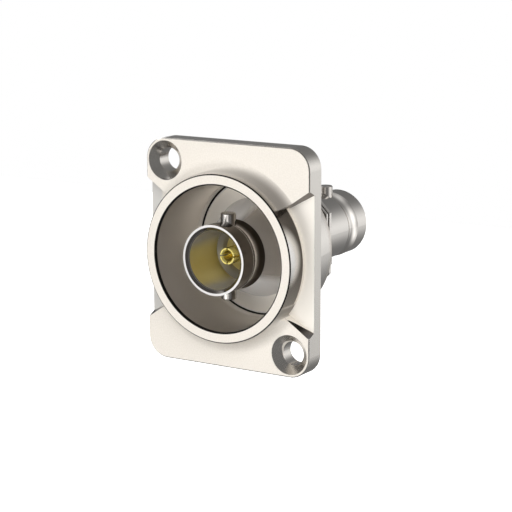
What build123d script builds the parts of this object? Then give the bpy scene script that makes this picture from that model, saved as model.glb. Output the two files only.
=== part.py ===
from build123d import *
import os

# Bayonet coaxial chassis connector, feed-through type, on a 26 x 31 mm panel flange.
# Millimetres. The origin is on the connector axis, in the plane where the back of the
# flange seats on the panel. +Z is up, the front faces -Y and the rear jack points to +Y.

# Flange plate
flange_width = 26.0
flange_height = 31.0
flange_thickness = 3.2
corner_radius = 3.0
edge_break = 0.15

# Fixing holes: one in the upper left corner and one in the lower right, seen from the front
hole_inset = 3.1
hole_radius = 1.65
countersink_radius = 2.75
countersink_angle = 90.0

# Collar round the cup, proud of the flange face
collar_radius = 11.55
collar_rise = 2.4
collar_wall = 1.5
collar_edge_break = 0.12
cove_radius = 2.0

# Recessed panels left and right of the collar: their side walls lean, more at the outer edge
panel_depth = 1.3
panel_edge_height = 9.95
panel_slope = 0.68
panel_foot_height = 9.3
panel_foot_slope = 0.545

# Cup that the front jack stands in
cup_depth = 12.1
cup_draft = 0.3
bulkhead_thickness = 1.35

# Housing barrel behind the flange
pilot_step = 0.05
pilot_length = 2.4
barrel_wall = 0.51
barrel_taper_start = 0.4
barrel_end_round = 0.25

# Jack end, turned alike at the front and at the rear
land_radius = 4.83
land_length = 2.63
groove_width = 2.8
groove_depth = 0.45
groove_wall = 0.33
mouth_bevel = 0.45
bore_depth = 7.15
funnel_drop = 0.65
funnel_length = 0.5
throat_drop = 0.45
throat_length = 0.5

# Bayonet lugs, pins pressed into the groove
lug_radius = 1.05
lug_reach = 1.12
lug_from_mouth = 3.85
lug_floor = 0.1
lug_edge_break = 0.12
lug_fit = 0.01

# Overall places of the two mouths, measured from the seating plane
front_mouth_reach = 6.46
rear_mouth_reach = 27.6

# Conical base and floor flange of the front body
cone_foot_radius = 7.0
cone_foot_rise = 1.4
floor_slope_drop = 0.4
floor_chamfer = 0.25
floor_gap = 0.25

# Threaded stem through the housing, and the spigot of the rear body inside it
stem_radius = 6.0
stem_chamfer = 0.3
stem_recess = 0.08
spigot_radius = 4.0
spigot_length = 2.5
spigot_fit = 0.02
spigot_end_gap = 0.1

# Seal under the floor flange, insulating bush in and behind the bulkhead
seal_thickness = 0.5
seal_lip = 0.1
seal_fit = 0.03
bush_wall = 0.6
bush_fit = 0.03
bush_flange_width = 0.57
bush_flange_thickness = 2.0

# Clamping stack behind the bush
washer_thickness = 1.1
washer_width = 1.06
washer_split = 0.8
thread_fit = 0.04
plate_rim = 1.46
plate_corner_cut = 3.2
plate_thickness = 0.45
plate_edge_break = 0.08
nut_face_thickness = 0.35
nut_face_rim = 0.86
nut_thickness = 0.65

# Insulators, slotted centre contacts and the pin that joins them
insulator_setback = 2.0
insulator_length = 5.6
insulator_fit = 0.02
contact_setback = 3.46
contact_radius = 1.17
contact_wall = 0.45
contact_bevel = 0.22
contact_bore_depth = 5.2
contact_edge_break = 0.06
slot_width = 0.2
slot_length = 4.2
shank_radius = 0.85
shank_fit = 0.02
shank_gap = 0.1
pin_radius = 0.4
pin_fit = 0.02
pin_length = 4.0

# Places that follow from the sizes above
face_y = -flange_thickness
collar_front_y = face_y - collar_rise
panel_y = face_y + panel_depth
hole_x = flange_width / 2 - hole_inset
hole_z = flange_height / 2 - hole_inset
panel_overrun = cove_radius * 2
panel_reach = (flange_width - collar_radius) / 2
cup_mouth_radius = collar_radius - collar_wall
cup_floor_radius = cup_mouth_radius - cup_draft
cup_floor_y = collar_front_y + cup_depth
pilot_radius = collar_radius - pilot_step
barrel_end_y = cup_floor_y + bulkhead_thickness
barrel_end_radius = cup_floor_radius + barrel_wall
floor_flange_radius = cup_floor_radius - floor_gap
floor_back_y = cup_floor_y - seal_thickness
cone_foot_y = floor_back_y - cone_foot_rise
floor_edge_y = cone_foot_y + floor_slope_drop + floor_chamfer

bore_radius = land_radius - groove_depth - groove_wall
funnel_radius = bore_radius - funnel_drop
throat_radius = funnel_radius - throat_drop
throat_depth = bore_depth + funnel_length + throat_length
groove_end = land_length + groove_width
front_mouth_y = -front_mouth_reach
rear_mouth_y = rear_mouth_reach

bush_sleeve_radius = stem_radius + bush_fit + bush_wall
bulkhead_bore_radius = bush_sleeve_radius + bush_fit
seal_outer_radius = cup_floor_radius - seal_fit
seal_inner_radius = bulkhead_bore_radius + seal_lip
bush_flange_radius = bush_sleeve_radius + bush_flange_width
clamp_bore_radius = stem_radius + thread_fit
washer_radius = clamp_bore_radius + washer_width
nut_face_radius = clamp_bore_radius + nut_face_rim
plate_side = (clamp_bore_radius + plate_rim) * 2
bush_end_y = barrel_end_y + bush_flange_thickness
washer_end_y = bush_end_y + washer_thickness
plate_end_y = washer_end_y + plate_thickness
nut_face_end_y = plate_end_y + nut_face_thickness
nut_end_y = nut_face_end_y + nut_thickness
stem_end_y = nut_end_y - stem_recess
spigot_start_y = nut_end_y - spigot_length
middle_y = (front_mouth_y + rear_mouth_y) / 2
half_length = (rear_mouth_y - front_mouth_y) / 2

# Local x and y of these planes run along +X and +Z, and they look out to the front
seat_plane = Plane(origin=(0, 0, 0), x_dir=(1, 0, 0), z_dir=(0, -1, 0))
face_plane = Plane(origin=(0, face_y, 0), x_dir=(1, 0, 0), z_dir=(0, -1, 0))
panel_plane = Plane(origin=(0, panel_y, 0), x_dir=(1, 0, 0), z_dir=(0, -1, 0))
middle_plane = Plane(origin=(0, middle_y, 0), x_dir=(1, 0, 0), z_dir=(0, 1, 0))


def panel_outline(outer_z, inner_z, side):
    """Trapezium of one side panel: it narrows from past the flange edge towards the axis."""
    outer_x = side * (flange_width / 2 + panel_overrun)
    inner_x = side * (flange_width / 2 - panel_reach)
    return [(outer_x, outer_z), (inner_x, inner_z), (inner_x, -inner_z), (outer_x, -outer_z)]


# Shell: flange, collar, cup and housing barrel, die-cast in one piece
top_outer = panel_edge_height + panel_slope * panel_overrun
top_inner = panel_edge_height - panel_slope * panel_reach
foot_outer = panel_foot_height + panel_foot_slope * panel_overrun
foot_inner = panel_foot_height - panel_foot_slope * panel_reach
cut_rise = cove_radius + 0.5
lean_outer = (top_outer - foot_outer) / panel_depth * cut_rise
lean_inner = (top_inner - foot_inner) / panel_depth * cut_rise

with BuildPart() as shell:
    with BuildSketch(seat_plane):
        RectangleRounded(flange_width, flange_height, corner_radius)
    extrude(amount=flange_thickness)
    chamfer(shell.faces().sort_by(Axis.Y)[0].edges(), edge_break)
    chamfer(shell.faces().sort_by(Axis.Y)[-1].edges(), edge_break)
    # Cove between the collar's wall and the face
    with BuildSketch(Plane.XY):
        with BuildLine():
            Line((collar_radius + cove_radius, face_y), (collar_radius - collar_wall, face_y))
            Line((collar_radius - collar_wall, face_y), (collar_radius - collar_wall, face_y - cove_radius))
            Line((collar_radius - collar_wall, face_y - cove_radius), (collar_radius, face_y - cove_radius))
            CenterArc((collar_radius + cove_radius, face_y - cove_radius), cove_radius, 90, 90)
        make_face()
    revolve(axis=Axis.Y)
    # Side panels
    for side in (1, -1):
        with BuildSketch(panel_plane):
            Polygon(*panel_outline(foot_outer, foot_inner, side), align=None)
        with BuildSketch(face_plane.offset(cut_rise)):
            Polygon(*panel_outline(top_outer + lean_outer, top_inner + lean_inner, side), align=None)
        loft(ruled=True, mode=Mode.SUBTRACT)
    # Collar in front, barrel behind
    with BuildSketch(Plane.XY):
        with BuildLine():
            Polyline(
                (0, collar_front_y),
                (collar_radius - collar_edge_break, collar_front_y),
                (collar_radius, collar_front_y + collar_edge_break),
                (collar_radius, -edge_break),
                (pilot_radius, -edge_break),
                (pilot_radius, pilot_length),
                (pilot_radius - barrel_taper_start, pilot_length + barrel_taper_start),
                (barrel_end_radius, barrel_end_y - barrel_end_round),
                (barrel_end_radius - barrel_end_round, barrel_end_y),
                (0, barrel_end_y),
                close=True,
            )
        make_face()
    revolve(axis=Axis.Y)
    # Cup with draft, and the bulkhead bore that the bush sits in
    with BuildSketch(Plane.XY):
        with BuildLine():
            Polyline(
                (0, collar_front_y),
                (cup_mouth_radius + collar_edge_break, collar_front_y),
                (cup_mouth_radius, collar_front_y + collar_edge_break),
                (cup_floor_radius, cup_floor_y),
                (bulkhead_bore_radius, cup_floor_y),
                (bulkhead_bore_radius, barrel_end_y),
                (0, barrel_end_y),
                close=True,
            )
        make_face()
    revolve(axis=Axis.Y, mode=Mode.SUBTRACT)
    # Countersunk fixing holes
    with Locations(
        face_plane.location * Location((-hole_x, hole_z, 0)),
        face_plane.location * Location((hole_x, -hole_z, 0)),
    ):
        CounterSinkHole(hole_radius, countersink_radius, counter_sink_angle=countersink_angle)
shell.part.label = "shell"

# Front body: bayonet end, conical base, floor flange and threaded stem, turned in one piece
with BuildPart() as front_body:
    with BuildSketch(Plane.XY):
        with BuildLine():
            Polyline(
                (throat_radius, front_mouth_y + throat_depth),
                (funnel_radius, front_mouth_y + bore_depth + funnel_length),
                (bore_radius, front_mouth_y + bore_depth),
                (bore_radius, front_mouth_y + mouth_bevel),
                (bore_radius + mouth_bevel, front_mouth_y),
                (land_radius, front_mouth_y),
                (land_radius, front_mouth_y + land_length),
            )
            ThreePointArc(
                (land_radius, front_mouth_y + land_length),
                (land_radius - groove_depth, front_mouth_y + land_length + groove_width / 2),
                (land_radius, front_mouth_y + groove_end),
            )
            Polyline(
                (land_radius, front_mouth_y + groove_end),
                (cone_foot_radius, cone_foot_y),
                (floor_flange_radius - floor_chamfer, cone_foot_y + floor_slope_drop),
                (floor_flange_radius, floor_edge_y),
                (floor_flange_radius, floor_back_y),
                (stem_radius, floor_back_y),
                (stem_radius, stem_end_y - stem_chamfer),
                (stem_radius - stem_chamfer, stem_end_y),
                (spigot_radius + spigot_fit, stem_end_y),
                (spigot_radius + spigot_fit, spigot_start_y - spigot_end_gap),
                (throat_radius, spigot_start_y - spigot_end_gap),
                (throat_radius, front_mouth_y + throat_depth),
            )
        make_face()
    revolve(axis=Axis.Y)
    # Seats of the two lugs
    for up in (1, -1):
        seat = Plane(origin=(0, front_mouth_y + lug_from_mouth, 0), x_dir=(1, 0, 0), z_dir=(0, 0, up))
        with BuildSketch(seat.offset(bore_radius + lug_floor)):
            Circle(lug_radius + lug_fit)
        extrude(amount=land_radius, mode=Mode.SUBTRACT)
front_body.part.label = "front_body"

# Rear body: the same bayonet end on a plain barrel, with a spigot that screws into the stem
with BuildPart() as rear_body:
    with BuildSketch(Plane.XY):
        with BuildLine():
            Polyline(
                (throat_radius, rear_mouth_y - throat_depth),
                (funnel_radius, rear_mouth_y - bore_depth - funnel_length),
                (bore_radius, rear_mouth_y - bore_depth),
                (bore_radius, rear_mouth_y - mouth_bevel),
                (bore_radius + mouth_bevel, rear_mouth_y),
                (land_radius, rear_mouth_y),
                (land_radius, rear_mouth_y - land_length),
            )
            ThreePointArc(
                (land_radius, rear_mouth_y - land_length),
                (land_radius - groove_depth, rear_mouth_y - land_length - groove_width / 2),
                (land_radius, rear_mouth_y - groove_end),
            )
            Polyline(
                (land_radius, rear_mouth_y - groove_end),
                (land_radius, nut_end_y),
                (spigot_radius, nut_end_y),
                (spigot_radius, spigot_start_y),
                (throat_radius, spigot_start_y),
                (throat_radius, rear_mouth_y - throat_depth),
            )
        make_face()
    revolve(axis=Axis.Y)
    for up in (1, -1):
        seat = Plane(origin=(0, rear_mouth_y - lug_from_mouth, 0), x_dir=(1, 0, 0), z_dir=(0, 0, up))
        with BuildSketch(seat.offset(bore_radius + lug_floor)):
            Circle(lug_radius + lug_fit)
        extrude(amount=land_radius, mode=Mode.SUBTRACT)
rear_body.part.label = "rear_body"


def lug(centre_y, up):
    """Bayonet lug: a short pin from the floor of its seat to its tip, with a broken edge."""
    seat = Plane(origin=(0, centre_y, 0), x_dir=(1, 0, 0), z_dir=(0, 0, up))
    with BuildPart() as pin:
        with BuildSketch(seat.offset(bore_radius + lug_floor)):
            Circle(lug_radius)
        extrude(amount=land_radius + lug_reach - bore_radius - lug_floor)
        tip = pin.faces().sort_by(Axis.Z)[-1 if up > 0 else 0]
        chamfer(tip.edges(), lug_edge_break)
    return pin


front_lug_upper = lug(front_mouth_y + lug_from_mouth, 1)
front_lug_upper.part.label = "front_lug_upper"
front_lug_lower = lug(front_mouth_y + lug_from_mouth, -1)
front_lug_lower.part.label = "front_lug_lower"
rear_lug_upper = lug(rear_mouth_y - lug_from_mouth, 1)
rear_lug_upper.part.label = "rear_lug_upper"
rear_lug_lower = lug(rear_mouth_y - lug_from_mouth, -1)
rear_lug_lower.part.label = "rear_lug_lower"

# Flat seal between the floor flange and the bulkhead
with BuildPart() as floor_seal:
    with BuildSketch(seat_plane.offset(-floor_back_y)):
        Circle(seal_outer_radius)
        Circle(seal_inner_radius, mode=Mode.SUBTRACT)
    extrude(amount=-seal_thickness)
floor_seal.part.label = "floor_seal"

# Shouldered bush that keeps the stem clear of the shell
with BuildPart() as rear_bush:
    with BuildSketch(Plane.XY):
        Polygon(
            (stem_radius + bush_fit, cup_floor_y),
            (bush_sleeve_radius, cup_floor_y),
            (bush_sleeve_radius, barrel_end_y),
            (bush_flange_radius, barrel_end_y),
            (bush_flange_radius, bush_end_y),
            (stem_radius + bush_fit, bush_end_y),
            align=None,
        )
    revolve(axis=Axis.Y)
rear_bush.part.label = "rear_bush"

# Split spring washer, clamped flat
with BuildPart() as spring_washer:
    with BuildSketch(seat_plane.offset(-bush_end_y)):
        Circle(washer_radius)
        Circle(clamp_bore_radius, mode=Mode.SUBTRACT)
        with Locations((0, -washer_radius)):
            Rectangle(washer_split, washer_radius, mode=Mode.SUBTRACT)
    extrude(amount=-washer_thickness)
spring_washer.part.label = "spring_washer"

# Clamping plate and nut, square with cut corners
with BuildPart() as clamp_plate:
    with BuildSketch(seat_plane.offset(-washer_end_y)) as plate_outline:
        Rectangle(plate_side, plate_side)
        chamfer(plate_outline.vertices(), plate_corner_cut)
    extrude(amount=-plate_thickness)
    chamfer(clamp_plate.faces().sort_by(Axis.Y)[0].edges(), plate_edge_break)
    chamfer(clamp_plate.faces().sort_by(Axis.Y)[-1].edges(), plate_edge_break)
    with BuildSketch(seat_plane.offset(-washer_end_y)):
        Circle(clamp_bore_radius)
    extrude(amount=-plate_thickness, mode=Mode.SUBTRACT)
clamp_plate.part.label = "clamp_plate"

with BuildPart() as clamp_nut:
    with BuildSketch(seat_plane.offset(-nut_face_end_y)) as nut_outline:
        Rectangle(plate_side, plate_side)
        chamfer(nut_outline.vertices(), plate_corner_cut)
    extrude(amount=-nut_thickness)
    chamfer(clamp_nut.faces().sort_by(Axis.Y)[0].edges(), plate_edge_break)
    chamfer(clamp_nut.faces().sort_by(Axis.Y)[-1].edges(), plate_edge_break)
    with BuildSketch(seat_plane.offset(-plate_end_y)):
        Circle(nut_face_radius)
    extrude(amount=-nut_face_thickness)
    with BuildSketch(seat_plane.offset(-plate_end_y)):
        Circle(clamp_bore_radius)
    extrude(amount=plate_end_y - nut_end_y, mode=Mode.SUBTRACT)
clamp_nut.part.label = "clamp_nut"


def insulator(start_y, end_y):
    """Insulating bead: fits the throat of a body and carries the shank of a contact."""
    with BuildPart() as bead:
        with BuildSketch(Plane.XY):
            Polygon(
                (shank_radius + shank_fit, start_y),
                (throat_radius - insulator_fit, start_y),
                (throat_radius - insulator_fit, end_y),
                (shank_radius + shank_fit, end_y),
                align=None,
            )
        revolve(axis=Axis.Y)
    return bead


front_insulator_y = front_mouth_y + throat_depth + insulator_setback
front_insulator = insulator(front_insulator_y, front_insulator_y + insulator_length)
front_insulator.part.label = "front_insulator"
rear_insulator_y = rear_mouth_y - throat_depth - insulator_setback
rear_insulator = insulator(rear_insulator_y - insulator_length, rear_insulator_y)
rear_insulator.part.label = "rear_insulator"


def contact(mouth_y, inward, seat_y):
    """Centre contact: slotted socket, solid shank through its insulator, bore for the pin."""
    tip_y = mouth_y + inward * contact_setback
    tail_y = middle_y - inward * shank_gap / 2
    with BuildPart() as socket:
        with BuildSketch(Plane.XY):
            Polygon(
                (contact_radius - contact_wall, tip_y + inward * contact_bevel),
                (contact_radius - contact_wall + contact_bevel, tip_y),
                (contact_radius - contact_edge_break, tip_y),
                (contact_radius, tip_y + inward * contact_edge_break),
                (contact_radius, seat_y),
                (shank_radius, seat_y),
                (shank_radius, tail_y),
                (pin_radius + pin_fit, tail_y),
                (pin_radius + pin_fit, middle_y - inward * pin_length / 2),
                (0, middle_y - inward * pin_length / 2),
                (0, tip_y + inward * contact_bore_depth),
                (contact_radius - contact_wall, tip_y + inward * contact_bore_depth),
                align=None,
            )
        revolve(axis=Axis.Y)
        with BuildSketch(Plane(origin=(0, tip_y, 0), x_dir=(1, 0, 0), z_dir=(0, inward, 0))):
            Rectangle(slot_width, contact_radius * 2)
            Rectangle(contact_radius * 2, slot_width)
        extrude(amount=slot_length, mode=Mode.SUBTRACT)
    return socket


front_contact = contact(front_mouth_y, 1, front_insulator_y)
front_contact.part.label = "front_contact"
rear_contact = contact(rear_mouth_y, -1, rear_insulator_y)
rear_contact.part.label = "rear_contact"

# Pin pressed into the tails of both contacts
with BuildPart() as contact_pin:
    with BuildSketch(middle_plane.offset(-pin_length / 2)):
        Circle(pin_radius)
    extrude(amount=pin_length)
contact_pin.part.label = "contact_pin"

pieces = [
    shell, front_body, rear_body, front_lug_upper, front_lug_lower, rear_lug_upper,
    rear_lug_lower, floor_seal, rear_bush, spring_washer, clamp_plate, clamp_nut,
    front_insulator, rear_insulator, front_contact, rear_contact, contact_pin,
]
os.makedirs("parts", exist_ok=True)
for piece in pieces:
    export_step(piece.part, "parts/" + piece.part.label + ".step")
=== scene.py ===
import logging
import math
from dataclasses import dataclass, field
from enum import Enum
from functools import cached_property
from typing import Any

import bpy
from mathutils import Matrix, Vector

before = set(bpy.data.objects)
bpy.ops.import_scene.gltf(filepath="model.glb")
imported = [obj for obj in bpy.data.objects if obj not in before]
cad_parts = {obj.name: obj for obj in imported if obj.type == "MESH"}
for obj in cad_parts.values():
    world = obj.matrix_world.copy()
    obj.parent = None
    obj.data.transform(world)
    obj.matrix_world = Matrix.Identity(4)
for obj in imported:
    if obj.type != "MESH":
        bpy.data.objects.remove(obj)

# Looks of a bayonet coaxial chassis connector. Metres; -Y is the front, +Z is up, and the origin is on
# the connector's axis where the back of the flange seats on the panel.

LOG = logging.getLogger("connector")
PER_MM = 0.001
FRONT = Vector((0.0, -1.0, 0.0))
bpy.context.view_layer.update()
FINE_LAYERS = 2.0
EDGE_SAMPLES = 4
Socket = bpy.types.NodeSocket
# Where a mark is 0, and where it is 1
Step = tuple[float, float]
# Both ends of a range
Span = tuple[float, float]


def linear(code: str) -> tuple[float, float, float, float]:
    """Turns an sRGB hex colour into the linear colour that a shader takes.

    Args:
        code: six hex digits, such as "F0E9DE".

    Returns:
        Red, green, blue and an alpha of 1.
    """
    shares = []
    for start in (0, 2, 4):
        value = int(code[start:start + 2], 16) / 255
        # The curve of the sRGB standard
        shares.append(value / 12.92 if value <= 0.04045 else ((value + 0.055) / 1.055) ** 2.4)
    return (shares[0], shares[1], shares[2], 1.0)


def add_node(
    tree: bpy.types.NodeTree,
    kind: str,
    settings: dict[Any, Any] | None = None,
    links: dict[Any, Socket] | None = None,
) -> bpy.types.Node:
    """Adds one node with its settings and links.

    Args:
        tree: node tree that gets the node.
        kind: Blender's name for the node's type.
        settings: values by input name, input number or property name.
        links: output sockets by the input name or number that takes them.

    Returns:
        The new node.
    """
    node = tree.nodes.new(kind)
    for key, value in (settings or {}).items():
        if isinstance(key, int) or key in node.inputs:
            node.inputs[key].default_value = value
        else:
            setattr(node, key, value)
    for key, source in (links or {}).items():
        tree.links.new(source, node.inputs[key])
    return node


@dataclass
class Canvas:
    """The node tree of a material or a world, and the arithmetic that its patterns are made of.

    Attributes:
        owner: the new material or world.
        tree: its node tree, emptied.
    """

    owner: Any
    tree: bpy.types.NodeTree = field(init=False)

    def __post_init__(self) -> None:
        """Empties the tree."""
        self.owner.use_nodes = True
        self.tree = self.owner.node_tree
        self.tree.nodes.clear()

    def put(self, node: bpy.types.Node, slot: Any, value: Any) -> None:
        """Gives one input of a node a socket, a number or a hex colour."""
        if isinstance(value, Socket):
            self.tree.links.new(value, node.inputs[slot])
        else:
            node.inputs[slot].default_value = linear(value) if isinstance(value, str) else value

    def sum(self, kind: str, first: Any, second: Any, clamp: bool = False) -> Socket:
        """Works out one step of arithmetic.

        Args:
            kind: Blender's name for the operation.
            first: a socket or a number.
            second: a socket or a number.
            clamp: keeps the result between 0 and 1.

        Returns:
            The socket that holds the result.
        """
        node = add_node(self.tree, "ShaderNodeMath", {"operation": kind, "use_clamp": clamp})
        self.put(node, 0, first)
        self.put(node, 1, second)
        return node.outputs[0]

    def times(self, first: Socket, *others: Any) -> Socket:
        """Multiplies a socket by others, each a socket or a number."""
        total = first
        for value in others:
            total = self.sum("MULTIPLY", total, value)
        return total

    def largest(self, first: Socket, *others: Socket) -> Socket:
        """Returns the largest of several sockets."""
        total = first
        for value in others:
            total = self.sum("MAXIMUM", total, value)
        return total

    def vector(self, kind: str, place: Socket, other: Any = None) -> Socket:
        """Works out one step of arithmetic on coordinates.

        Args:
            kind: Blender's name for the operation.
            place: the coordinates.
            other: the vector that the operation takes, if it takes one.

        Returns:
            The socket that holds the result, which is a number for a length or a dot product.
        """
        settings = {"operation": kind}
        if other is not None:
            settings[1] = other
        node = add_node(self.tree, "ShaderNodeVectorMath", settings, {0: place})
        return node.outputs["Value" if kind in ("LENGTH", "DOT_PRODUCT") else "Vector"]

    def ramp(self, value: Socket, low: float, high: float) -> Socket:
        """Returns 0 below low, 1 above high and a smooth step between them."""
        return add_node(
            self.tree,
            "ShaderNodeMapRange",
            {"interpolation_type": "SMOOTHSTEP", "From Min": low, "From Max": high},
            {"Value": value},
        ).outputs["Result"]

    def stretch(self, share: Socket, low: Any, high: Any) -> Socket:
        """Spreads a share from 0 to 1 over the range from low to high, each a socket or a number."""
        node = add_node(self.tree, "ShaderNodeMapRange", links={"Value": share})
        self.put(node, "To Min", low)
        self.put(node, "To Max", high)
        return node.outputs["Result"]

    def within(self, *steps: tuple[Socket, float, float]) -> Socket:
        """Marks where several measures are all in range.

        Args:
            steps: for each measure, its socket, the value where the mark is 0 and the one where it is 1.

        Returns:
            A share from 0 to 1, the product of the steps.
        """
        shares = []
        for value, none, full in steps:
            rise = self.ramp(value, min(none, full), max(none, full))
            shares.append(rise if full > none else self.sum("SUBTRACT", 1.0, rise))
        return self.times(*shares)


@dataclass
class Sheet(Canvas):
    """A blank material with its shader, and the coordinates that its patterns are drawn in.

    Attributes:
        shader: the shader that the patterns feed.
        place: a point's place in millimetres.
    """

    shader: bpy.types.Node = field(init=False)
    place: Socket = field(init=False)

    def __post_init__(self) -> None:
        """Makes the shader and a point's place."""
        super().__post_init__()
        self.shader = add_node(self.tree, "ShaderNodeBsdfPrincipled")
        add_node(self.tree, "ShaderNodeOutputMaterial", links={"Surface": self.shader.outputs[0]})
        spot = add_node(self.tree, "ShaderNodeTexCoord")
        self.place = add_node(
            self.tree,
            "ShaderNodeVectorMath",
            {"operation": "SCALE", "Scale": 1 / PER_MM},
            {0: spot.outputs["Object"]},
        ).outputs["Vector"]

    @cached_property
    def radius(self) -> Socket:
        """A point's distance from the connector's axis, in millimetres."""
        return self.vector("LENGTH", self.vector("MULTIPLY", self.place, (1.0, 0.0, 1.0)))

    @cached_property
    def depth(self) -> Socket:
        """Its place along the connector's axis, from the front to the back."""
        return self.along("Y")

    @cached_property
    def level(self) -> Socket:
        """Its height above the connector's axis."""
        return self.along("Z")

    @cached_property
    def facing(self) -> Socket:
        """How far the surface faces the front: 1 for the flange's face, 0 for its edges."""
        surface = add_node(self.tree, "ShaderNodeNewGeometry")
        return self.vector("DOT_PRODUCT", surface.outputs["Normal"], FRONT)

    def along(self, axis: str) -> Socket:
        """Returns a point's place along one axis, in millimetres."""
        return add_node(self.tree, "ShaderNodeSeparateXYZ", links={0: self.place}).outputs[axis]

    def away(self, centre: tuple[float, float, float], scale: tuple[float, float, float]) -> Socket:
        """Returns how far a point is from a place, with its own scale along each axis.

        Args:
            centre: the place, in millimetres.
            scale: what each axis of the distance is multiplied by.

        Returns:
            The distance.
        """
        apart = self.vector("SUBTRACT", self.place, centre)
        return self.vector("LENGTH", self.vector("MULTIPLY", apart, scale))

    def toward(self, turn: float) -> Socket:
        """Returns how near a point is to one side of the connector's axis.

        Args:
            turn: the side, in degrees from straight up towards the right seen from the front.

        Returns:
            The cosine of the angle between the point and that side.
        """
        angle = math.radians(turn)
        side = (math.sin(angle), 0.0, math.cos(angle))
        return self.sum("DIVIDE", self.vector("DOT_PRODUCT", self.place, side), self.radius)

    def mix(self, share: Socket, first: Any, second: Any) -> Socket:
        """Blends two colours, each a socket or a hex colour, by a share from 0 to 1."""
        node = add_node(self.tree, "ShaderNodeMix", {"data_type": "RGBA"}, {"Factor": share})
        # Inputs 6 and 7 and output 2 are the ones for colours
        self.put(node, 6, first)
        self.put(node, 7, second)
        return node.outputs[2]

    def speckle(self, size_mm: float, detail: float, place: Any = None) -> Socket:
        """Draws soft random spots of a real size.

        Args:
            size_mm: width of a spot.
            detail: how many finer layers it has.
            place: coordinates in millimetres, or none for the point's own place.

        Returns:
            A share from 0 to 1, mostly near the middle.
        """
        return add_node(
            self.tree,
            "ShaderNodeTexNoise",
            {"Scale": 1 / size_mm, "Detail": detail},
            {"Vector": place or self.place},
        ).outputs[0]

    def rings(self, size_mm: float) -> Socket:
        """Draws the rings that a lathe tool leaves round the axis, of a real width."""
        turned = add_node(
            self.tree, "ShaderNodeCombineXYZ", links={"X": self.radius, "Y": self.depth}
        )
        return self.speckle(size_mm, FINE_LAYERS, turned.outputs[0])

    def relief(self, height: Socket, height_mm: float, soften_mm: float) -> None:
        """Raises the surface by a pattern, over edges that are rounded a little.

        Args:
            height: the pattern, from 0 to 1.
            height_mm: its height.
            soften_mm: radius that sharp edges seem to have.
        """
        edge = add_node(
            self.tree, "ShaderNodeBevel", {"samples": EDGE_SAMPLES, "Radius": soften_mm * PER_MM}
        )
        bump = add_node(
            self.tree,
            "ShaderNodeBump",
            {"Distance": height_mm * PER_MM},
            {"Height": height, "Normal": edge.outputs[0]},
        )
        self.feed("Normal", bump.outputs[0])

    def feed(self, name: str, value: Any) -> None:
        """Gives one shader input a socket, a number or a hex colour."""
        self.put(self.shader, name, value)


@dataclass(frozen=True)
class CastingZones:
    """Where the marks on the casting begin, and where they are full.

    Radii and depths are millimetres from the connector's axis and along it, levels and sides are places
    along Z and X, and a facing is how far the surface faces the front. Fronts and backs are depths too,
    tops and bottoms are levels, and the root's reach is a share of its width.
    """

    face_facing: Step = (0.86, 0.985)
    cove_radius: Step = (11.6, 11.7)
    cove_depth: Step = (-3.1, -3.3)
    cove_facing: Step = (-0.3, 0.05)
    wall_inside: Step = (10.8, 11.2)
    wall_outside: Step = (11.9, 11.7)
    wall_depth: Step = (-1.6, -1.8)
    foot_front: Step = (-2.5, -2.25)
    foot_back: Step = (-1.7, -1.8)
    low_end_depth: Step = (-5.7, -5.6)
    low_end_level: Step = (-5.3, -6.0)
    low_end_facing: Step = (0.75, 0.5)
    low_end_fade: Step = (-8.6, -6.2)
    taper_radius: Step = (11.6, 11.65)
    taper_front: Step = (-3.26, -3.14)
    taper_level: Step = (-5.0, -5.5)
    panel_back: Step = (-1.87, -1.9)
    root_reach: Step = (1.0, 0.2)
    root_facing: Step = (0.995, 0.975)
    root_depth: Step = (-3.1, -3.22)
    root_level: Step = (-2.0, 0.0)
    floor_facing: Step = (0.9, 0.97)
    floor_depth: Step = (-2.1, -2.0)
    floor_radius: Step = (11.5, 11.7)
    left_side: Step = (-11.0, -11.6)
    right_side: Step = (6.0, 7.0)
    cup_radius: Step = (10.5, 10.2)
    band_front: Step = (3.6, 5.0)
    band_back: Step = (5.35, 5.2)
    corner_front: Step = (5.2, 5.35)
    corner_back: Step = (6.0, 5.9)
    wall_shade_away: Step = (0.72, 1.35)
    wall_shade_top: Step = (7.6, 7.2)
    wall_shade_bottom: Step = (-7.6, -7.2)
    wall_shade_middle: Step = (-2.5, 0.5)
    above_radius: Step = (11.0, 11.3)
    above_depth: Step = (-3.0, -3.2)
    above_level: Step = (7.2, 7.6)
    steep_radius: Step = (11.8, 11.95)
    steep_front: Step = (-3.24, -3.21)
    steep_facing: Step = (0.04, 0.1)
    upper_start: Step = (0.0, 0.1)
    upper_end: Step = (9.9, 9.7)
    lower_start: Step = (0.0, -0.1)
    lower_end: Step = (-9.9, -9.7)
    paling_radius: Step = (14.2, 16.2)
    edge_rising: Step = (0.45, 0.55)
    edge_falling: Step = (0.95, 0.88)
    edge_depth: Step = (-5.38, -5.44)
    lip_radius: Step = (10.3, 10.25)
    lip_depth: Step = (-5.1, -5.2)
    edge_line_depth: Step = (-5.4, -5.5)
    edge_line_inside: Step = (10.27, 10.21)
    edge_line_outside: Step = (11.36, 11.42)
    edge_line_end: Step = (11.6, 11.54)


CASTING = CastingZones()


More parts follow.
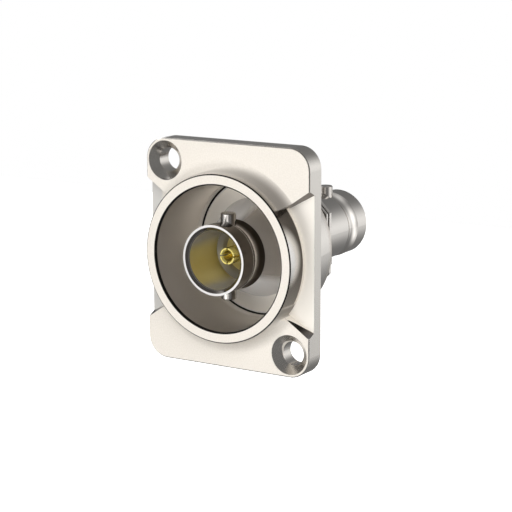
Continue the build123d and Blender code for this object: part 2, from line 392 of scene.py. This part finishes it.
@dataclass(frozen=True)
class CastNickel:
    """Satin nickel plate on die-cast zinc.

    The flats are blasted, which gives the eye an even, pale cream with a very fine grain. The walls are
    smoother and greyer, with painted shade in the recesses and along some edges, and painted light in a
    few places. The tones and their places were fitted to the photograph, so some of them may be what its
    studio mirrored there.
    """

    flat: str = "F4EDE3"
    fleck: str = "EEE7DC"
    wall: str = "D8D4CE"
    collar: str = "DFDDDA"
    # Painted shade on the collar's wall beside the panels: clear round this centre, darker towards its
    # foot and ends
    clear_mm: tuple[float, float, float] = (0.0, -5.5, 1.4)
    clear_scale: tuple[float, float, float] = (0.0, 0.455, 0.3)
    wall_shade_shares: Span = (0.95, 1.0)
    # Painted shade on the left panel's floor, and painted light on the right one's
    painted_left_panel_shade: str = "D3D0CB"
    painted_right_panel_light: str = "FBF5EB"
    # Painted shade: the inside of the cup is a darker copy of the wall's tone
    cup: str = "CBC4BB"
    # Painted light: the paler band at the cup's foot
    band: str = "F2ECE2"
    band_metal: float = 0.15
    # Painted shade at the root of the cove, greyest towards the upper right
    root: str = "8A847D"
    root_shares: Span = (0.4, 1.0)
    root_mm: float = 0.3
    root_growth_mm: float = 2.1
    above_share: float = 0.7
    collar_mm: float = 11.6
    grey_turn: float = 50.0
    grey_from: float = 0.3
    # Painted shade: the dark tone at the foot and ends of the collar's wall
    painted_recess_shade: str = "55504B"
    # Painted shade for the dark edges, lines and corners
    edge: str = "262422"
    # Painted shade on the steep walls of the panels
    steep_upper: str = "746F6B"
    steep_lower: str = "1F1D1C"
    steep_end: str = "7A7673"
    # Where the pale finish, as painted light, climbs the panels' lower steep walls
    taper_mm: float = 12.3
    taper_length_mm: float = 2.8
    taper_rise_mm: float = 1.15
    taper_power: float = 0.5
    flat_metal: float = 0.12
    flat_roughness: float = 0.5
    wall_roughness: float = 0.2
    cup_roughness: float = 0.4
    uneven: float = 0.05
    grain_mm: float = 0.2
    grain_steps: Step = (0.35, 0.65)
    grain_height_mm: float = 0.006
    soften_mm: float = 0.05

    def low_end(self, sheet: Sheet) -> Socket:
        """Marks the collar's wall at the lower ends of the panels."""
        return sheet.within(
            (sheet.radius, *CASTING.wall_inside),
            (sheet.radius, *CASTING.wall_outside),
            (sheet.depth, *CASTING.low_end_depth),
            (sheet.level, *CASTING.low_end_level),
        )

    def blasted(self, sheet: Sheet, low_end: Socket) -> Socket:
        """Marks what is blasted, with feet of walls that take its pale colour as painted light.

        Args:
            sheet: the material.
            low_end: marks the collar's wall at the lower ends of the panels.

        Returns:
            A share, 1 on the blasted and pale-painted surfaces and 0 on the smooth ones.
        """
        face = sheet.ramp(sheet.facing, *CASTING.face_facing)
        # The cove is blasted with the face; the foot of the collar beside the panels gets the same pale
        # finish, its paleness painted light
        cove = sheet.within(
            (sheet.radius, *CASTING.cove_radius),
            (sheet.depth, *CASTING.cove_depth),
            (sheet.facing, *CASTING.cove_facing),
        )
        foot = sheet.within(
            (sheet.radius, *CASTING.wall_inside),
            (sheet.radius, *CASTING.wall_outside),
            (sheet.depth, *CASTING.foot_front),
            (sheet.depth, *CASTING.foot_back),
        )
        # So do the inner feet of the panels' lower steep walls, up to a curve, also as painted light
        reach = sheet.sum("SUBTRACT", sheet.radius, self.taper_mm)
        reach = sheet.sum("DIVIDE", reach, self.taper_length_mm)
        reach = sheet.sum("POWER", sheet.sum("MAXIMUM", reach, 0.0), self.taper_power)
        rise = sheet.sum("SUBTRACT", sheet.depth, sheet.times(reach, self.taper_rise_mm))
        taper = sheet.within(
            (sheet.radius, *CASTING.taper_radius),
            (rise, *CASTING.taper_front),
            (sheet.depth, *CASTING.panel_back),
            (sheet.level, *CASTING.taper_level),
        )
        return sheet.largest(face, cove, foot, low_end, taper)

    def greyest(self, sheet: Sheet) -> Socket:
        """Returns how near a point is to the upper right, where the painted shade at the collar's root
        is darkest.
        """
        past = sheet.sum("SUBTRACT", sheet.toward(self.grey_turn), self.grey_from)
        share = sheet.sum("DIVIDE", past, 1.0 - self.grey_from, clamp=True)
        return sheet.times(share, share)

    def pale(self, sheet: Sheet, grain: Socket, low_end: Socket, greyest: Socket) -> Socket:
        """Returns the colour of the blasted surfaces.

        Args:
            sheet: the material.
            grain: its fine grain.
            low_end: marks the collar's wall at the lower ends of the panels.
            greyest: how near a point is to the side where the painted shade at the collar's root is
                darkest.

        Returns:
            The colour.
        """
        tone = sheet.mix(sheet.ramp(grain, *self.grain_steps), self.fleck, self.flat)
        # Painted shade: the root of the cove is grey, most and widest on the side nearest the upper
        # right
        width = sheet.sum("ADD", sheet.times(greyest, self.root_growth_mm), self.root_mm)
        reach = sheet.sum("DIVIDE", sheet.sum("SUBTRACT", sheet.radius, self.collar_mm), width)
        root = sheet.within(
            (reach, *CASTING.root_reach),
            (sheet.facing, *CASTING.root_facing),
            (sheet.depth, *CASTING.root_depth),
            (sheet.level, *CASTING.root_level),
        )
        root = sheet.times(root, sheet.stretch(greyest, *self.root_shares))
        # The same painted shade greys the collar's wall at the lower ends of the panels
        low = sheet.within(
            (sheet.facing, *CASTING.low_end_facing), (sheet.level, *CASTING.low_end_fade)
        )
        root = sheet.largest(root, sheet.times(low_end, low))
        tone = sheet.mix(root, tone, self.root)
        # The left panel's floor is painted greyer, as painted shade, and the right one's paler, as
        # painted light
        side = sheet.along("X")
        floor = (
            (sheet.facing, *CASTING.floor_facing),
            (sheet.depth, *CASTING.floor_depth),
            (sheet.radius, *CASTING.floor_radius),
        )
        tone = sheet.mix(sheet.within(*floor, (side, *CASTING.left_side)), tone, self.painted_left_panel_shade)
        return sheet.mix(sheet.within(*floor, (side, *CASTING.right_side)), tone, self.painted_right_panel_light)

    def smooth(self, sheet: Sheet, cup: Socket, band: Socket, greyest: Socket) -> Socket:
        """Returns the colour of the walls.

        Args:
            sheet: the material.
            cup: marks the inside of the collar.
            band: marks the band at the cup's foot.
            greyest: how near a point is to the side where the painted shade at the collar's root is
                darkest.

        Returns:
            The colour.
        """
        # The cup's darker tone is painted shade in the recess
        tone = sheet.mix(cup, self.wall, self.cup)
        tone = sheet.mix(band, tone, self.band)
        # Painted shade: a dark line in the corner where the cup meets its floor
        corner = sheet.within((sheet.depth, *CASTING.corner_front), (sheet.depth, *CASTING.corner_back))
        tone = sheet.mix(sheet.times(cup, corner), tone, self.edge)
        # The collar's wall beside the panels gets painted shade, darker towards its foot and its ends
        beside = sheet.within(
            (sheet.radius, *CASTING.wall_inside),
            (sheet.radius, *CASTING.wall_outside),
            (sheet.depth, *CASTING.wall_depth),
        )
        tone = sheet.mix(beside, tone, self.collar)
        wall_shade = sheet.within(
            (sheet.away(self.clear_mm, self.clear_scale), *CASTING.wall_shade_away),
            (sheet.level, *CASTING.wall_shade_top),
            (sheet.level, *CASTING.wall_shade_bottom),
        )
        share = sheet.stretch(sheet.ramp(sheet.level, *CASTING.wall_shade_middle), *self.wall_shade_shares)
        tone = sheet.mix(sheet.times(wall_shade, share, beside), tone, self.painted_recess_shade)
        # Above the panels the wall's foot gets the same painted shade as the root of the cove
        above = sheet.within(
            (sheet.radius, *CASTING.above_radius),
            (sheet.depth, *CASTING.above_depth),
            (sheet.facing, *CASTING.root_facing),
            (sheet.level, *CASTING.above_level),
        )
        tone = sheet.mix(sheet.times(above, greyest, self.above_share), tone, self.root)
        # Painted shade: the steep walls of the panels are dark, darker still under the lower ones, and
        # paler towards their outer ends
        steep = (
            (sheet.radius, *CASTING.steep_radius),
            (sheet.depth, *CASTING.steep_front),
            (sheet.depth, *CASTING.panel_back),
            (sheet.facing, *CASTING.steep_facing),
        )
        upper = sheet.within(
            *steep, (sheet.level, *CASTING.upper_start), (sheet.level, *CASTING.upper_end)
        )
        lower = sheet.within(
            *steep, (sheet.level, *CASTING.lower_start), (sheet.level, *CASTING.lower_end)
        )
        paling = sheet.ramp(sheet.radius, *CASTING.paling_radius)
        tone = sheet.mix(upper, tone, self.steep_upper)
        tone = sheet.mix(lower, tone, sheet.mix(paling, self.steep_lower, self.steep_end))
        # Painted shade: the edges of the collar's front are dark, and so is the lip inside it
        edges = sheet.within(
            (sheet.facing, *CASTING.edge_rising),
            (sheet.facing, *CASTING.edge_falling),
            (sheet.depth, *CASTING.edge_depth),
        )
        lip = sheet.within((sheet.radius, *CASTING.lip_radius), (sheet.depth, *CASTING.lip_depth))
        return sheet.mix(sheet.largest(edges, lip), tone, self.edge)

    def painted_edge_lines(self, sheet: Sheet) -> Socket:
        """Marks two fine lines of painted shade along the edges of the collar's front."""
        inner = sheet.within((sheet.radius, *CASTING.edge_line_inside))
        outer = sheet.within(
            (sheet.radius, *CASTING.edge_line_outside), (sheet.radius, *CASTING.edge_line_end)
        )
        front = sheet.within((sheet.depth, *CASTING.edge_line_depth))
        return sheet.times(sheet.largest(inner, outer), front)

    def build(self) -> bpy.types.Material:
        """Makes the material."""
        sheet = Sheet(bpy.data.materials.new("satin_nickel_on_die_cast_zinc"))
        grain = sheet.speckle(self.grain_mm, FINE_LAYERS)
        low_end = self.low_end(sheet)
        flat = self.blasted(sheet, low_end)
        greyest = self.greyest(sheet)
        cup = sheet.within((sheet.radius, *CASTING.cup_radius))
        # A band at the cup's foot is flatter than the rest of the cup, and painted paler as painted
        # light
        band = sheet.within((sheet.depth, *CASTING.band_front), (sheet.depth, *CASTING.band_back))
        band = sheet.times(cup, band)
        pale = self.pale(sheet, grain, low_end, greyest)
        smooth = self.smooth(sheet, cup, band, greyest)
        tone = sheet.mix(flat, smooth, pale)
        # The fine edge lines are painted shade
        sheet.feed("Base Color", sheet.mix(self.painted_edge_lines(sheet), tone, self.edge))
        metal = sheet.stretch(flat, 1.0, self.flat_metal)
        sheet.feed("Metallic", sheet.times(metal, sheet.stretch(band, 1.0, self.band_metal)))
        bare = sheet.stretch(cup, self.wall_roughness, self.cup_roughness)
        rough = sheet.stretch(flat, bare, self.flat_roughness)
        uneven = sheet.stretch(grain, -self.uneven, self.uneven)
        sheet.feed("Roughness", sheet.sum("ADD", rough, uneven, clamp=True))
        sheet.relief(grain, self.grain_height_mm, self.soften_mm)
        return sheet.owner


@dataclass(frozen=True)
class JackZones:
    """Where the marks on the jack bodies begin, and where they are full.

    Radii and depths are millimetres from the connector's axis and along it, a facing is how far the
    surface faces the front, and a turn is how near a point is to one side of the axis.
    """

    outside_radius: Step = (4.1, 4.3)
    side_facing: Step = (0.8, 0.6)
    barrel_depth: Step = (-3.75, -4.05)
    rear_depth: Step = (6.5, 6.8)
    chamfer_radius: Step = (4.53, 4.5)
    chamfer_facing: Step = (0.5, 0.6)
    chamfer_depth: Step = (-5.9, -6.0)
    groove_radius: Step = (4.85, 4.82)
    groove_front: Step = (-3.0, -1.6)
    groove_back: Step = (-0.9, -1.0)
    gold_reflection_radius: Step = (4.3, 4.1)
    gold_reflection_facing: Step = (0.6, 0.4)
    gold_reflection_turn: Step = (0.55, 0.9)
    shoulder_radius: Step = (4.2, 4.1)
    shoulder_facing: Step = (0.4, 0.6)
    shoulder_depth: Step = (-4.0, -3.0)
    throat_radius: Step = (3.02, 2.98)
    cone_front: Step = (-1.1, -1.0)
    cone_back: Step = (6.5, 6.0)
    floor_facing: Step = (0.9, 0.97)
    clear_turn: Step = (0.66, 0.38)
    rim_facing: Step = (0.9, 0.97)
    rim_radius: Step = (4.3, 4.4)
    rim_depth: Step = (-6.3, -6.4)


JACK = JackZones()


@dataclass(frozen=True)
class TurnedNickel:
    """Bright nickel plate on turned brass.

    It gives the eye a smooth grey mirror with faint rings from the tool, and a softer shine in the bore.
    Its tones were fitted to the photograph, like the casting's.
    """

    base: str = "F9F7F5"
    # Painted shade: the barrel's side is a dark copy of the base tone and the rear body's side a darker
    # one
    barrel: str = "6E6863"
    rear: str = "D8D4CF"
    # Painted shade: the dark chamfer inside the rim
    chamfer: str = "8A8580"
    # Painted reflection of the gold contact in the throat
    throat: str = "FDF0B0"
    # Painted shade on the shoulder inside the bore
    shoulder: str = "A8A49E"
    # Painted reflection of the gold contact on one side of the bore
    painted_gold_reflection: str = "FBEDAE"
    gold_reflection_side: float = -112.0
    # Painted shade in the groove
    groove: str = "5C554F"
    floor: str = "FBF6ED"
    floor_roughness: float = 0.4
    floor_metal: float = 0.6
    cone_roughness: float = 0.16
    cone_metal: float = 0.85
    clear_side: float = 68.0
    milky_metal: float = 0.0
    outer_roughness: float = 0.09
    bore_roughness: float = 0.32
    bore_metal: float = 0.85
    rim_metal: float = 0.6
    uneven: float = 0.03
    ring_mm: float = 0.12
    ring_shades: Span = (0.97, 1.0)
    ring_height_mm: float = 0.0012
    soften_mm: float = 0.04

    def colour(self, sheet: Sheet, floor: Socket) -> Socket:
        """Returns the colour before the rings shade it.

        Args:
            sheet: the material.
            floor: marks the floor flange.

        Returns:
            The colour.
        """
        # Painted shade on the sides of the barrel and the rear body
        side = ((sheet.radius, *JACK.outside_radius), (sheet.facing, *JACK.side_facing))
        tone = sheet.mix(
            sheet.within(*side, (sheet.depth, *JACK.barrel_depth)), self.base, self.barrel
        )
        tone = sheet.mix(sheet.within(*side, (sheet.depth, *JACK.rear_depth)), tone, self.rear)
        # Painted shade: the chamfer inside the rim is dark
        chamfer = sheet.within(
            (sheet.radius, *JACK.chamfer_radius),
            (sheet.facing, *JACK.chamfer_facing),
            (sheet.depth, *JACK.chamfer_depth),
        )
        tone = sheet.mix(chamfer, tone, self.chamfer)
        # Painted shade: the groove behind the barrel gets darker towards its back
        groove = sheet.within(
            (sheet.radius, *JACK.outside_radius),
            (sheet.radius, *JACK.groove_radius),
            (sheet.depth, *JACK.groove_front),
            (sheet.depth, *JACK.groove_back),
        )
        tone = sheet.mix(groove, tone, self.groove)
        # The bore is painted yellower on one side, a painted reflection of the gold contact
        painted_gold_reflection = sheet.within(
            (sheet.radius, *JACK.gold_reflection_radius),
            (sheet.facing, *JACK.gold_reflection_facing),
            (sheet.toward(self.gold_reflection_side), *JACK.gold_reflection_turn),
        )
        tone = sheet.mix(painted_gold_reflection, tone, self.painted_gold_reflection)
        # Painted shade: the shoulder inside the bore is a darker grey
        shoulder = sheet.within(
            (sheet.radius, *JACK.shoulder_radius),
            (sheet.facing, *JACK.shoulder_facing),
            (sheet.depth, *JACK.shoulder_depth),
        )
        tone = sheet.mix(shoulder, tone, self.shoulder)
        # The throat is painted yellow, a painted reflection of the gold contact
        tone = sheet.mix(sheet.within((sheet.radius, *JACK.throat_radius)), tone, self.throat)
        return sheet.mix(floor, tone, self.floor)

    def build(self) -> bpy.types.Material:
        """Makes the material."""
        sheet = Sheet(bpy.data.materials.new("bright_nickel_on_turned_brass"))
        rings = sheet.rings(self.ring_mm)
        outside = sheet.ramp(sheet.radius, *JACK.outside_radius)
        # The cone at the jack's foot is finer turned than the floor flange, which is matte
        cone = sheet.within((sheet.depth, *JACK.cone_front), (sheet.depth, *JACK.cone_back))
        cone = sheet.times(cone, outside)
        floor = sheet.times(cone, sheet.ramp(sheet.facing, *JACK.floor_facing))
        tint = sheet.stretch(rings, *self.ring_shades)
        shaded = add_node(
            sheet.tree,
            "ShaderNodeVectorMath",
            {"operation": "SCALE"},
            {0: self.colour(sheet, floor), "Scale": tint},
        )
        sheet.feed("Base Color", shaded.outputs["Vector"])
        # The plate on the cone is milky all round, but for a clear stretch on the right
        milky = sheet.within((sheet.toward(self.clear_side), *JACK.clear_turn))
        milky = sheet.times(milky, sheet.sum("SUBTRACT", cone, floor))
        rim = sheet.within(
            (sheet.facing, *JACK.rim_facing),
            (sheet.radius, *JACK.rim_radius),
            (sheet.depth, *JACK.rim_depth),
        )
        metal = sheet.times(
            sheet.stretch(floor, 1.0, self.floor_metal / self.cone_metal),
            sheet.stretch(milky, 1.0, self.milky_metal),
            sheet.stretch(outside, self.bore_metal, 1.0),
            sheet.stretch(cone, 1.0, self.cone_metal),
            sheet.stretch(rim, 1.0, self.rim_metal),
        )
        sheet.feed("Metallic", metal)
        rough = sheet.stretch(outside, self.bore_roughness, self.outer_roughness)
        rough = sheet.stretch(cone, rough, self.cone_roughness)
        rough = sheet.stretch(floor, rough, self.floor_roughness)
        uneven = sheet.stretch(rings, -self.uneven, self.uneven)
        sheet.feed("Roughness", sheet.sum("ADD", rough, uneven, clamp=True))
        sheet.relief(rings, self.ring_height_mm, self.soften_mm)
        return sheet.owner


@dataclass(frozen=True)
class Grained:
    """A finish of one tone with a fine grain.

    Attributes:
        name: the real material.
        tone: colour of the grain's tops.
        shade: colour between them.
        roughness: the middle roughness.
        smoother: how much smoother it gets.
        rougher: how much rougher it gets.
        grain_mm: width of a grain.
        height_mm: its height.
        detail: how many finer layers it has.
        soften_mm: radius that sharp edges seem to have.
        metal: 1 for a clean metal, 0 for rubber and plastic.
        steps: where the grain is all shade, and where it is all tone.
    """

    name: str
    tone: str
    shade: str
    roughness: float
    smoother: float
    rougher: float
    grain_mm: float
    height_mm: float
    detail: float = FINE_LAYERS
    soften_mm: float = 0.05
    metal: float = 1.0
    steps: Step = (0.3, 0.7)

    def paint(self, sheet: Sheet, grain: Socket) -> None:
        """Gives a blank material the finish, with a pattern as its grain."""
        sheet.feed("Base Color", sheet.mix(sheet.ramp(grain, *self.steps), self.shade, self.tone))
        sheet.feed("Metallic", self.metal)
        smooth = self.roughness - self.smoother
        sheet.feed("Roughness", sheet.stretch(grain, smooth, self.roughness + self.rougher))
        sheet.relief(grain, self.height_mm, self.soften_mm)

    def build(self) -> bpy.types.Material:
        """Makes the material."""
        sheet = Sheet(bpy.data.materials.new(self.name))
        self.paint(sheet, sheet.speckle(self.grain_mm, self.detail))
        return sheet.owner


@dataclass(frozen=True)
class DrawnPin(Grained):
    """Bright nickel plate on small turned pins: a clear shine with faint lines round them."""

    name: str = "bright_nickel_on_turned_pin"
    tone: str = "CDC9C4"
    shade: str = "C2BDB8"
    roughness: float = 0.22
    smoother: float = 0.03
    rougher: float = 0.05
    grain_mm: float = 0.15
    height_mm: float = 0.001


@dataclass(frozen=True)
class PunchedSteel(Grained):
    """Nickel-plated sheet steel, punched: smooth, a little duller than the turned parts."""

    name: str = "nickel_plated_punched_steel"
    tone: str = "ECE8E3"
    shade: str = "E0DBD5"
    roughness: float = 0.22
    smoother: float = 0.05
    rougher: float = 0.08
    grain_mm: float = 0.25
    height_mm: float = 0.002
    detail: float = 3.0


@dataclass(frozen=True)
class GoldPlate(Grained):
    """Hard gold plate on beryllium copper: a clean, deep yellow shine, slightly soft in the slots."""

    name: str = "gold_plate_on_spring_copper"
    tone: str = "FBEC94"
    shade: str = "F2E17E"
    roughness: float = 0.16
    smoother: float = 0.04
    rougher: float = 0.06
    grain_mm: float = 0.18
    height_mm: float = 0.001
    soften_mm: float = 0.03
    metal: float = 0.85


@dataclass(frozen=True)
class Fluoropolymer(Grained):
    """Machined PTFE: waxy white, slightly see-through in thin edges, with faint tool rings."""

    name: str = "machined_ptfe"
    tone: str = "EFEDE7"
    shade: str = "E3E0D8"
    roughness: float = 0.42
    smoother: float = 0.05
    rougher: float = 0.1
    grain_mm: float = 0.2
    height_mm: float = 0.003
    metal: float = 0.0
    waxy: float = 0.15
    seen_into_m: tuple[float, float, float] = (0.0006, 0.0006, 0.0005)
    bending: float = 1.35

    def build(self) -> bpy.types.Material:
        """Makes the material."""
        sheet = Sheet(bpy.data.materials.new(self.name))
        self.paint(sheet, sheet.rings(self.grain_mm))
        sheet.feed("Subsurface Weight", self.waxy)
        sheet.feed("Subsurface Radius", self.seen_into_m)
        sheet.feed("Subsurface Scale", 1.0)
        sheet.feed("IOR", self.bending)
        return sheet.owner


@dataclass(frozen=True)
class MouldedBlack(Grained):
    """Black moulded rubber or nylon: matte, with a fine mould grain that catches a little light."""

    smoother: float = 0.08
    rougher: float = 0.1
    grain_mm: float = 0.15
    height_mm: float = 0.006
    detail: float = 3.0
    metal: float = 0.0


class Part(Enum):
    """The finishes of the connector, by the record's slot."""

    CASTING = "cast_nickel"
    TURNED = "turned_nickel"
    LUG = "lug_nickel"
    SEAL = "seal_rubber"
    BUSH = "bush_plastic"
    STEEL = "plated_steel"
    INSULATOR = "insulator_white"
    CONTACT = "contact_gold"


FINISHES = {
    Part.CASTING: CastNickel(),
    Part.TURNED: TurnedNickel(),
    Part.LUG: DrawnPin(),
    Part.SEAL: MouldedBlack("moulded_nitrile_rubber", "161514", "0F0E0D", 0.62),
    Part.BUSH: MouldedBlack("moulded_black_nylon", "232222", "1A1919", 0.5),
    Part.STEEL: PunchedSteel(),
    Part.INSULATOR: Fluoropolymer(),
    Part.CONTACT: GoldPlate(),
}


@dataclass
class Dresser:
    """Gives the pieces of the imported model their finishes."""

    nodes: dict[str, bpy.types.Object]
    made: dict[Part, bpy.types.Material] = field(default_factory=dict)

    def finish(self, part: Part) -> bpy.types.Material:
        """Returns the finish's material, made once."""
        if part not in self.made:
            self.made[part] = FINISHES[part].build()
        return self.made[part]

    def dress(self, part: Part, *names: str) -> None:
        """Puts one finish on the named pieces.

        Args:
            part: the finish.
            names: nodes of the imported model.
        """
        material = self.finish(part)
        for name in names:
            piece = self.nodes[name]
            for slot in piece.material_slots:
                slot.material = material
            LOG.info("%s: %s", name, material.name)


@dataclass
class PanelShell:
    """The die-cast flange with its collar, cup and housing barrel, and what is clamped behind it."""

    dresser: Dresser

    def build(self) -> None:
        """Dresses the shell and the clamping stack."""
        self.dresser.dress(Part.CASTING, "shell")
        self.dresser.dress(Part.SEAL, "floor_seal")
        self.dresser.dress(Part.BUSH, "rear_bush")
        self.dresser.dress(Part.STEEL, "spring_washer", "clamp_plate", "clamp_nut")


@dataclass
class JackEnd:
    """One bayonet jack: its turned body, two lugs, insulator and centre contact."""

    dresser: Dresser
    end: str

    def build(self) -> None:
        """Dresses the jack."""
        self.dresser.dress(Part.TURNED, f"{self.end}_body")
        self.dresser.dress(Part.LUG, f"{self.end}_lug_upper", f"{self.end}_lug_lower")
        self.dresser.dress(Part.INSULATOR, f"{self.end}_insulator")
        self.dresser.dress(Part.CONTACT, f"{self.end}_contact")


@dataclass(frozen=True)
class Viewpoint:
    """The camera, placed as the photograph's was."""

    azimuth: float = 33.049
    elevation: float = 11.601
    roll: float = -0.343
    eye_mm: tuple[float, float, float] = (125.132, -195.524, 47.105)
    focal_px: float = 1732.166
    frame_px: int = 512
    shift_px: tuple[float, float] = (29.79, 0.517)
    sensor_mm: float = 36.0
    nearest_m: float = 0.005

    def build(self) -> bpy.types.Object:
        """Makes the camera and returns it."""
        turn = math.radians(self.azimuth)
        rise = math.radians(self.elevation)
        lean = math.radians(self.roll)
        away = Vector((
            -math.sin(turn) * math.cos(rise),
            math.cos(turn) * math.cos(rise),
            -math.sin(rise),
        ))
        level = Vector((math.cos(turn), math.sin(turn), 0.0))
        upright = level.cross(away)
        right = level * math.cos(lean) + upright * math.sin(lean)
        up = upright * math.cos(lean) - level * math.sin(lean)
        lens = bpy.data.cameras.new("photo_lens")
        lens.sensor_width = self.sensor_mm
        lens.lens = self.focal_px / self.frame_px * self.sensor_mm
        lens.shift_x = self.shift_px[0] / self.frame_px
        lens.shift_y = self.shift_px[1] / self.frame_px
        lens.clip_start = self.nearest_m
        camera = bpy.data.objects.new("photo_camera", lens)
        bpy.context.scene.collection.objects.link(camera)
        facing = Matrix((right, up, -away)).transposed().to_4x4()
        camera.matrix_world = Matrix.Translation(Vector(self.eye_mm) * PER_MM) @ facing
        bpy.context.scene.camera = camera
        return camera


@dataclass(frozen=True)
class SoftBox:
    """A soft patch of light on the studio's walls.

    Attributes:
        azimuth: degrees from the front towards the part's left.
        elevation: degrees above the part.
        strength: radiance at its middle.
        tightness: how fast it fades from its middle.
    """

    azimuth: float
    elevation: float
    strength: float = 1.0
    tightness: float = 10.0

    def direction(self) -> Vector:
        """Returns the direction from the part to the patch."""
        turn = math.radians(self.azimuth)
        rise = math.radians(self.elevation)
        return Vector((
            -math.sin(turn) * math.cos(rise),
            -math.cos(turn) * math.cos(rise),
            math.sin(rise),
        ))


@dataclass(frozen=True)
class Studio:
    """A white studio with soft patches of light in front of the part and on both sides of it.

    Attributes:
        boxes: the soft patches that light the part.
        ambient: radiance everywhere else.
        backdrop: where the white backdrop hangs, of which only the direction counts.
        backdrop_half: degrees from its middle to its edge.
        backdrop_fade: degrees over which its edge fades.
    """

    boxes: tuple[SoftBox, ...] = (
        SoftBox(35.0, 9.0, 4.98, 42.0),
        SoftBox(-17.0, 2.0, 4.18, 42.0),
        SoftBox(15.0, -21.0, 7.0, 42.0),
        SoftBox(109.0, 42.0, 7.0, 35.6),
        SoftBox(181.0, 71.0, 0.75, 12.7),
        SoftBox(-108.0, -29.0, 1.68, 13.9),
        SoftBox(-115.0, 15.0, 2.15, 8.8),
        SoftBox(-161.0, -2.0, 1.31, 20.7),
    )
    ambient: float = 0.237
    lamp_watts: float = 0.65
    lamp_size: float = 0.25
    lamp_far: float = 0.35
    lamp_azimuth: float = -40.0
    lamp_elevation: float = 32.0
    backdrop: SoftBox = SoftBox(147.0, -11.6)
    backdrop_half: float = 11.0
    backdrop_fade: float = 4.0
    floor_drop: float = 0.3
    floor_half: float = 1.5
    floor_tone: str = "F4F4F2"
    floor_grain_mm: float = 2.0
    floor_roughness: float = 0.8
    floor_glow: float = 0.85

    def world(self) -> None:
        """Lights the world by the soft patches, and shows it white to the camera."""
        world = bpy.data.worlds.new("studio")
        bpy.context.scene.world = world
        canvas = Canvas(world)
        look = add_node(canvas.tree, "ShaderNodeTexCoord").outputs["Generated"]
        total = self.ambient
        for box in self.boxes:
            near = canvas.sum("MAXIMUM", canvas.vector("DOT_PRODUCT", look, box.direction()), 0.0)
            patch = canvas.times(canvas.sum("POWER", near, box.tightness), box.strength)
            total = canvas.sum("ADD", patch, total)
        light = add_node(canvas.tree, "ShaderNodeBackground", links={"Strength": total})
        white = add_node(canvas.tree, "ShaderNodeBackground", {"Color": linear("FFFFFF")})
        # The camera sees white all round, and metal sees it where the backdrop hangs behind the part
        behind = canvas.ramp(
            canvas.vector("DOT_PRODUCT", look, self.backdrop.direction()),
            math.cos(math.radians(self.backdrop_half + self.backdrop_fade)),
            math.cos(math.radians(self.backdrop_half)),
        )
        ray = add_node(canvas.tree, "ShaderNodeLightPath").outputs
        mirrored = canvas.sum("ADD", ray["Is Glossy Ray"], ray["Is Transmission Ray"])
        seen = canvas.sum("ADD", ray["Is Camera Ray"], canvas.times(mirrored, behind), clamp=True)
        both = add_node(
            canvas.tree,
            "ShaderNodeMixShader",
            links={0: seen, 1: light.outputs[0], 2: white.outputs[0]},
        )
        add_node(canvas.tree, "ShaderNodeOutputWorld", links={"Surface": both.outputs[0]})

    def floor(self) -> None:
        """Lays a pale floor well under the part, whose shadow on it falls outside the picture."""
        sheet = Sheet(bpy.data.materials.new("painted_studio_floor"))
        grain = sheet.speckle(self.floor_grain_mm, FINE_LAYERS)
        sheet.feed("Base Color", sheet.mix(grain, self.floor_tone, "FFFFFF"))
        sheet.feed("Roughness", self.floor_roughness)
        ray = add_node(sheet.tree, "ShaderNodeLightPath").outputs
        mirrored = sheet.sum("ADD", ray["Is Glossy Ray"], ray["Is Transmission Ray"])
        seen = sheet.sum("ADD", ray["Is Camera Ray"], mirrored, clamp=True)
        sheet.feed("Emission Color", "FFFFFF")
        sheet.feed("Emission Strength", sheet.times(seen, self.floor_glow))
        half = self.floor_half
        mesh = bpy.data.meshes.new("floor")
        corners = [(-half, -half, 0.0), (half, -half, 0.0), (half, half, 0.0), (-half, half, 0.0)]
        mesh.from_pydata(corners, [], [(0, 1, 2, 3)])
        mesh.materials.append(sheet.owner)
        floor = bpy.data.objects.new("floor", mesh)
        floor.location = (0.0, 0.0, -self.floor_drop)
        bpy.context.scene.collection.objects.link(floor)
        # The soft boxes under the part shine through it
        floor.visible_diffuse = False
        floor.visible_glossy = False
        floor.visible_shadow = False

    def lamp(self) -> None:
        """Hangs a large soft lamp by the camera, which the metal doesn't mirror."""
        light = bpy.data.lights.new("front_lamp", "AREA")
        light.shape = "DISK"
        light.size = self.lamp_size
        light.energy = self.lamp_watts
        lamp = bpy.data.objects.new("front_lamp", light)
        bpy.context.scene.collection.objects.link(lamp)
        toward = SoftBox(self.lamp_azimuth, self.lamp_elevation).direction()
        lamp.location = toward * self.lamp_far
        lamp.rotation_euler = toward.to_track_quat("Z", "Y").to_euler()
        lamp.visible_camera = False
        lamp.visible_glossy = False

    def build(self) -> None:
        """Makes the studio."""
        bpy.context.scene.view_settings.view_transform = "Standard"
        self.world()
        self.floor()
        self.lamp()


def main() -> None:
    """Builds the looks, sub-assembly by sub-assembly."""
    logging.basicConfig(level=logging.INFO, format="%(name)s: %(message)s")
    Viewpoint().build()
    Studio().build()
    dresser = Dresser(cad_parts)
    PanelShell(dresser).build()
    JackEnd(dresser, "front").build()
    JackEnd(dresser, "rear").build()
    dresser.dress(Part.CONTACT, "contact_pin")


if __name__ == "__main__":
    main()
